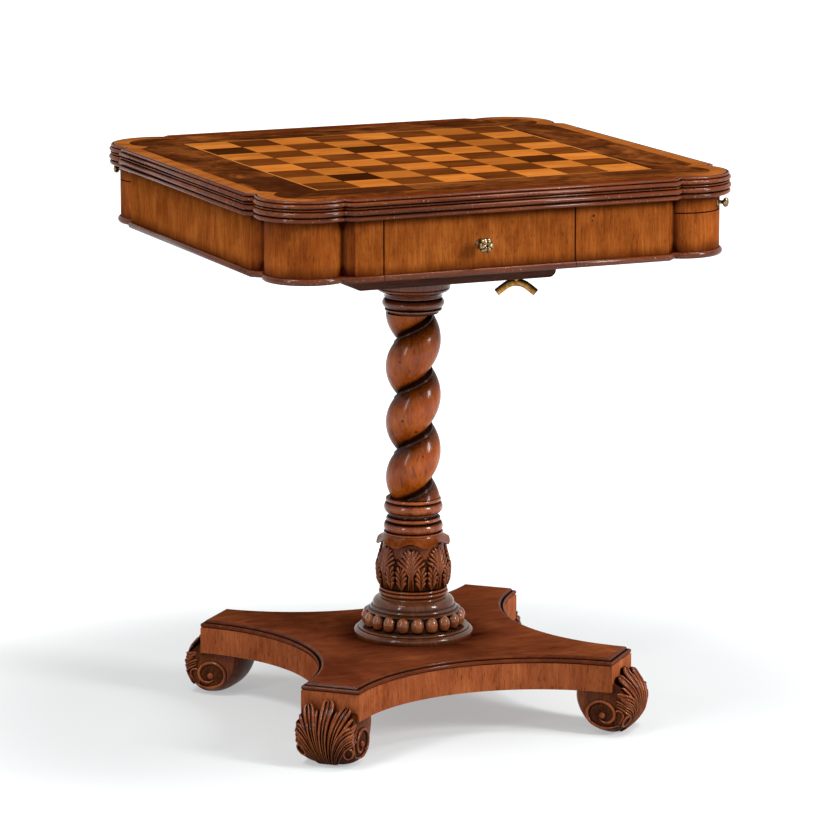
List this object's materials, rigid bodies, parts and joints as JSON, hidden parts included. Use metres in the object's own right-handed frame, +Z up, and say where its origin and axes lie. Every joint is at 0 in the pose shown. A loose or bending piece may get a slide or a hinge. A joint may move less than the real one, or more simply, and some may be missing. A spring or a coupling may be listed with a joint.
{
  "type": "chess table with inlaid board",
  "caption": "Square games table with an inlaid chess board and lobed reeded corners, drawers and candle slides in the apron, on a twist-turned column with a concave platform and scroll feet.",
  "frame": {"origin": "on the floor, on the axis of the column", "axes": "+Z up along the column, -Y towards the player's side that shows a drawer, +X to that player's right"},
  "size_m": [0.6686, 0.684, 0.76],
  "materials": {
    "top_mahogany": "french polished",
    "light_veneer": "french polished",
    "dark_veneer": "french polished",
    "stringing": "french polished",
    "crossband": "french polished",
    "walnut_border": "french polished",
    "apron_veneer": "french polished",
    "corner_veneer": "french polished",
    "base_bead": "french polished",
    "inner_oak": "bare waxed",
    "bearer_wood": "stained",
    "column_mahogany": "french polished",
    "platform_veneer": "french polished",
    "foot_mahogany": "french polished",
    "brass": "antique polished",
    "iron": "dark"
  },
  "bodies": {
    "table": {"back_apron_long": "apron_veneer", "back_apron_short": "apron_veneer", "base_moulding": "base_bead", "beaded_base": "column_mahogany", "bearer_block": "bearer_wood", "bearer_screws": "iron", "board_stringing": "stringing", "carved_vase": "column_mahogany", "column_cap": "column_mahogany", "column_neck": "column_mahogany", "corner_post_back_left": "corner_veneer", "corner_post_back_right": "corner_veneer", "corner_post_front_left": "corner_veneer", "corner_post_front_right": "corner_veneer", "dark_squares": "dark_veneer", "drawer_divider": "inner_oak", "drawer_runners": "inner_oak", "dust_board": "inner_oak", "edge_crossband": "crossband", "fixing_blocks": "inner_oak", "front_apron_long": "apron_veneer", "front_apron_short": "apron_veneer", "left_apron": "apron_veneer", "light_squares": "light_veneer", "platform": "platform_veneer", "right_apron": "apron_veneer", "scroll_foot_back_left": "foot_mahogany", "scroll_foot_back_right": "foot_mahogany", "scroll_foot_front_left": "foot_mahogany", "scroll_foot_front_right": "foot_mahogany", "slide_guides": "inner_oak", "tie_rod": "iron", "tie_rod_nuts": "iron", "top_panel": "top_mahogany", "twist_shaft": "column_mahogany", "walnut_border": "walnut_border", "wing_stud": "brass"},
    "front_drawer": {"front_drawer_back": "inner_oak", "front_drawer_bead": "base_bead", "front_drawer_bottom": "inner_oak", "front_drawer_face": "apron_veneer", "front_drawer_knob": "brass", "front_drawer_left_side": "inner_oak", "front_drawer_right_side": "inner_oak"},
    "back_drawer": {"back_drawer_back": "inner_oak", "back_drawer_bead": "base_bead", "back_drawer_bottom": "inner_oak", "back_drawer_face": "apron_veneer", "back_drawer_knob": "brass", "back_drawer_left_side": "inner_oak", "back_drawer_right_side": "inner_oak"},
    "front_right_slide": {"front_right_slide_front": "corner_veneer", "front_right_slide_knob": "brass", "front_right_slide_tray": "inner_oak"},
    "back_left_slide": {"back_left_slide_front": "corner_veneer", "back_left_slide_knob": "brass", "back_left_slide_tray": "inner_oak"},
    "wing": {"locking_wing": "brass"}
  },
  "joints": [
    {"name": "front_drawer_pull", "type": "slide", "parent": "table", "child": "front_drawer", "axis": [0, -1, 0], "range_m": [0, 0.19]},
    {"name": "back_drawer_pull", "type": "slide", "parent": "table", "child": "back_drawer", "axis": [0, 1, 0], "range_m": [0, 0.19]},
    {"name": "front_right_slide_pull", "type": "slide", "parent": "table", "child": "front_right_slide", "axis": [0.7071, -0.7071, 0], "range_m": [0, 0.1]},
    {"name": "back_left_slide_pull", "type": "slide", "parent": "table", "child": "back_left_slide", "axis": [-0.7071, 0.7071, 0], "range_m": [0, 0.1]},
    {"name": "wing_turn", "type": "hinge", "parent": "table", "child": "wing", "pos_m": [0.1, -0.112, 0.609], "axis": [0, 0, 1], "range_deg": [0, 90]}
  ]
}
